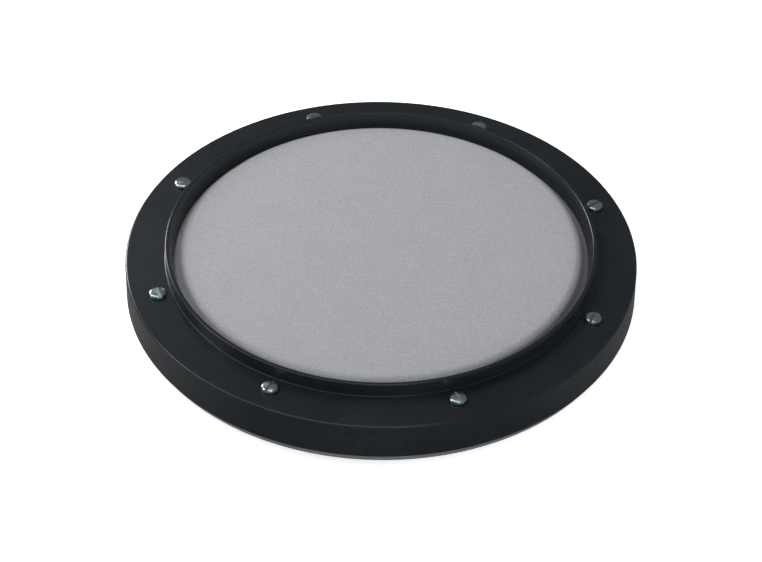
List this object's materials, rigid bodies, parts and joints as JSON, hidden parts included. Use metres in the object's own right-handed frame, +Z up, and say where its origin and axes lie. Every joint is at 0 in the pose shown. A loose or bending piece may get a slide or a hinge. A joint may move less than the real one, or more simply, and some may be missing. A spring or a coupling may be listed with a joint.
{
  "type": "practice pad",
  "caption": "Round tunable practice pad with a woven mesh playing head held over a grey base by a black rim and slotted screws.",
  "frame": {"origin": "on the table under the middle of the pad, at the bottom of the rubber sheet", "axes": "+Z up through the playing head; +X between two tension screws"},
  "size_m": [0.2508, 0.2508, 0.0324],
  "materials": {
    "rim_plastic": "satin moulded, near black",
    "base_plastic": "fine matt moulded, mid grey",
    "mesh": "fine woven polyester mesh, light grey",
    "screw_zinc": "zinc plated, slightly blue",
    "hoop_aluminium": "rolled channel, satin",
    "resin": "cast resin, amber",
    "insert_brass": "turned brass",
    "foam": "open-cell foam, charcoal",
    "rubber": "matt rubber, black"
  },
  "bodies": {
    "base": {"base_shell": "base_plastic", "damping_foam": "foam", "rubber_sheet": "rubber", "stand_insert": "insert_brass", "screw_insert_1": "insert_brass", "screw_insert_2": "insert_brass", "screw_insert_3": "insert_brass", "screw_insert_4": "insert_brass", "screw_insert_5": "insert_brass", "screw_insert_6": "insert_brass", "screw_insert_7": "insert_brass", "screw_insert_8": "insert_brass"},
    "rim": {"rim": "rim_plastic", "mesh_head": "mesh", "flesh_hoop": "hoop_aluminium", "hoop_filler": "resin"},
    "screw_1": {"tension_screw_1": "screw_zinc"},
    "screw_2": {"tension_screw_2": "screw_zinc"},
    "screw_3": {"tension_screw_3": "screw_zinc"},
    "screw_4": {"tension_screw_4": "screw_zinc"},
    "screw_5": {"tension_screw_5": "screw_zinc"},
    "screw_6": {"tension_screw_6": "screw_zinc"},
    "screw_7": {"tension_screw_7": "screw_zinc"},
    "screw_8": {"tension_screw_8": "screw_zinc"}
  },
  "joints": [
    {"name": "rim_slide", "type": "slide", "parent": "base", "child": "rim", "axis": [0, 0, 1], "range_m": [-0.00079, 0.00238], "deforming": ["mesh_head"]},
    {"name": "screw_1_turn", "type": "hinge", "parent": "rim", "child": "screw_1", "pos_m": [0.10393, 0.04305, 0.0249], "axis": [0, 0, 1], "range_deg": [-360, 1080]},
    {"name": "screw_2_turn", "type": "hinge", "parent": "rim", "child": "screw_2", "pos_m": [0.04305, 0.10393, 0.0249], "axis": [0, 0, 1], "range_deg": [-360, 1080]},
    {"name": "screw_3_turn", "type": "hinge", "parent": "rim", "child": "screw_3", "pos_m": [-0.04305, 0.10393, 0.0249], "axis": [0, 0, 1], "range_deg": [-360, 1080]},
    {"name": "screw_4_turn", "type": "hinge", "parent": "rim", "child": "screw_4", "pos_m": [-0.10393, 0.04305, 0.0249], "axis": [0, 0, 1], "range_deg": [-360, 1080]},
    {"name": "screw_5_turn", "type": "hinge", "parent": "rim", "child": "screw_5", "pos_m": [-0.10393, -0.04305, 0.0249], "axis": [0, 0, 1], "range_deg": [-360, 1080]},
    {"name": "screw_6_turn", "type": "hinge", "parent": "rim", "child": "screw_6", "pos_m": [-0.04305, -0.10393, 0.0249], "axis": [0, 0, 1], "range_deg": [-360, 1080]},
    {"name": "screw_7_turn", "type": "hinge", "parent": "rim", "child": "screw_7", "pos_m": [0.04305, -0.10393, 0.0249], "axis": [0, 0, 1], "range_deg": [-360, 1080]},
    {"name": "screw_8_turn", "type": "hinge", "parent": "rim", "child": "screw_8", "pos_m": [0.10393, -0.04305, 0.0249], "axis": [0, 0, 1], "range_deg": [-360, 1080]}
  ],
  "couplings": [
    {"joint": "screw_1_turn", "follows": "rim_slide", "rad_per_m": 7915.8},
    {"joint": "screw_2_turn", "follows": "rim_slide", "rad_per_m": 7915.8},
    {"joint": "screw_3_turn", "follows": "rim_slide", "rad_per_m": 7915.8},
    {"joint": "screw_4_turn", "follows": "rim_slide", "rad_per_m": 7915.8},
    {"joint": "screw_5_turn", "follows": "rim_slide", "rad_per_m": 7915.8},
    {"joint": "screw_6_turn", "follows": "rim_slide", "rad_per_m": 7915.8},
    {"joint": "screw_7_turn", "follows": "rim_slide", "rad_per_m": 7915.8},
    {"joint": "screw_8_turn", "follows": "rim_slide", "rad_per_m": 7915.8}
  ]
}
